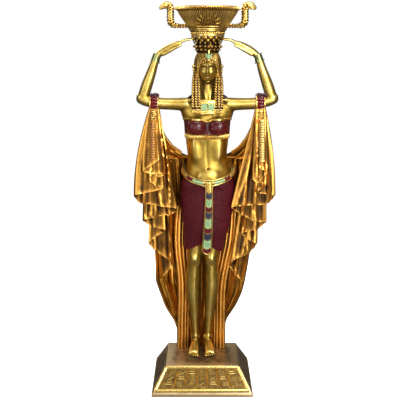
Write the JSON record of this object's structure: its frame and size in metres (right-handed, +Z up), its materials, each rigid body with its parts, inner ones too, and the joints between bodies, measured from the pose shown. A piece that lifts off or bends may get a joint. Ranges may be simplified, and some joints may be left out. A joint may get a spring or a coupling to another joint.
{
  "type": "egyptian goddess statue",
  "caption": "Standing goddess figure in draped shawl and pleated skirt, both hands raised to a fluted bowl with cobra handles on her head, on a low pyramid plinth.",
  "frame": {"origin": "middle of the plinth's flat underside", "axes": "+Z up, the statue faces -Y, +X to her left"},
  "size_m": [0.1225, 0.082, 0.3307],
  "materials": {
    "plinth_bronze": "cold-cast bronze resin, brown patina",
    "figure_bronze": "cold-cast bronze resin, rubbed gold",
    "bowl_bronze": "cold-cast bronze resin, antique gold",
    "red_enamel": "burgundy enamel paint",
    "green_enamel": "pale green enamel paint",
    "dark_enamel": "navy enamel paint"
  },
  "bodies": {
    "root": {"plinth": "plinth_bronze", "goddess_figure": "figure_bronze", "cobra_handled_bowl": "bowl_bronze"}
  },
  "joints": []
}
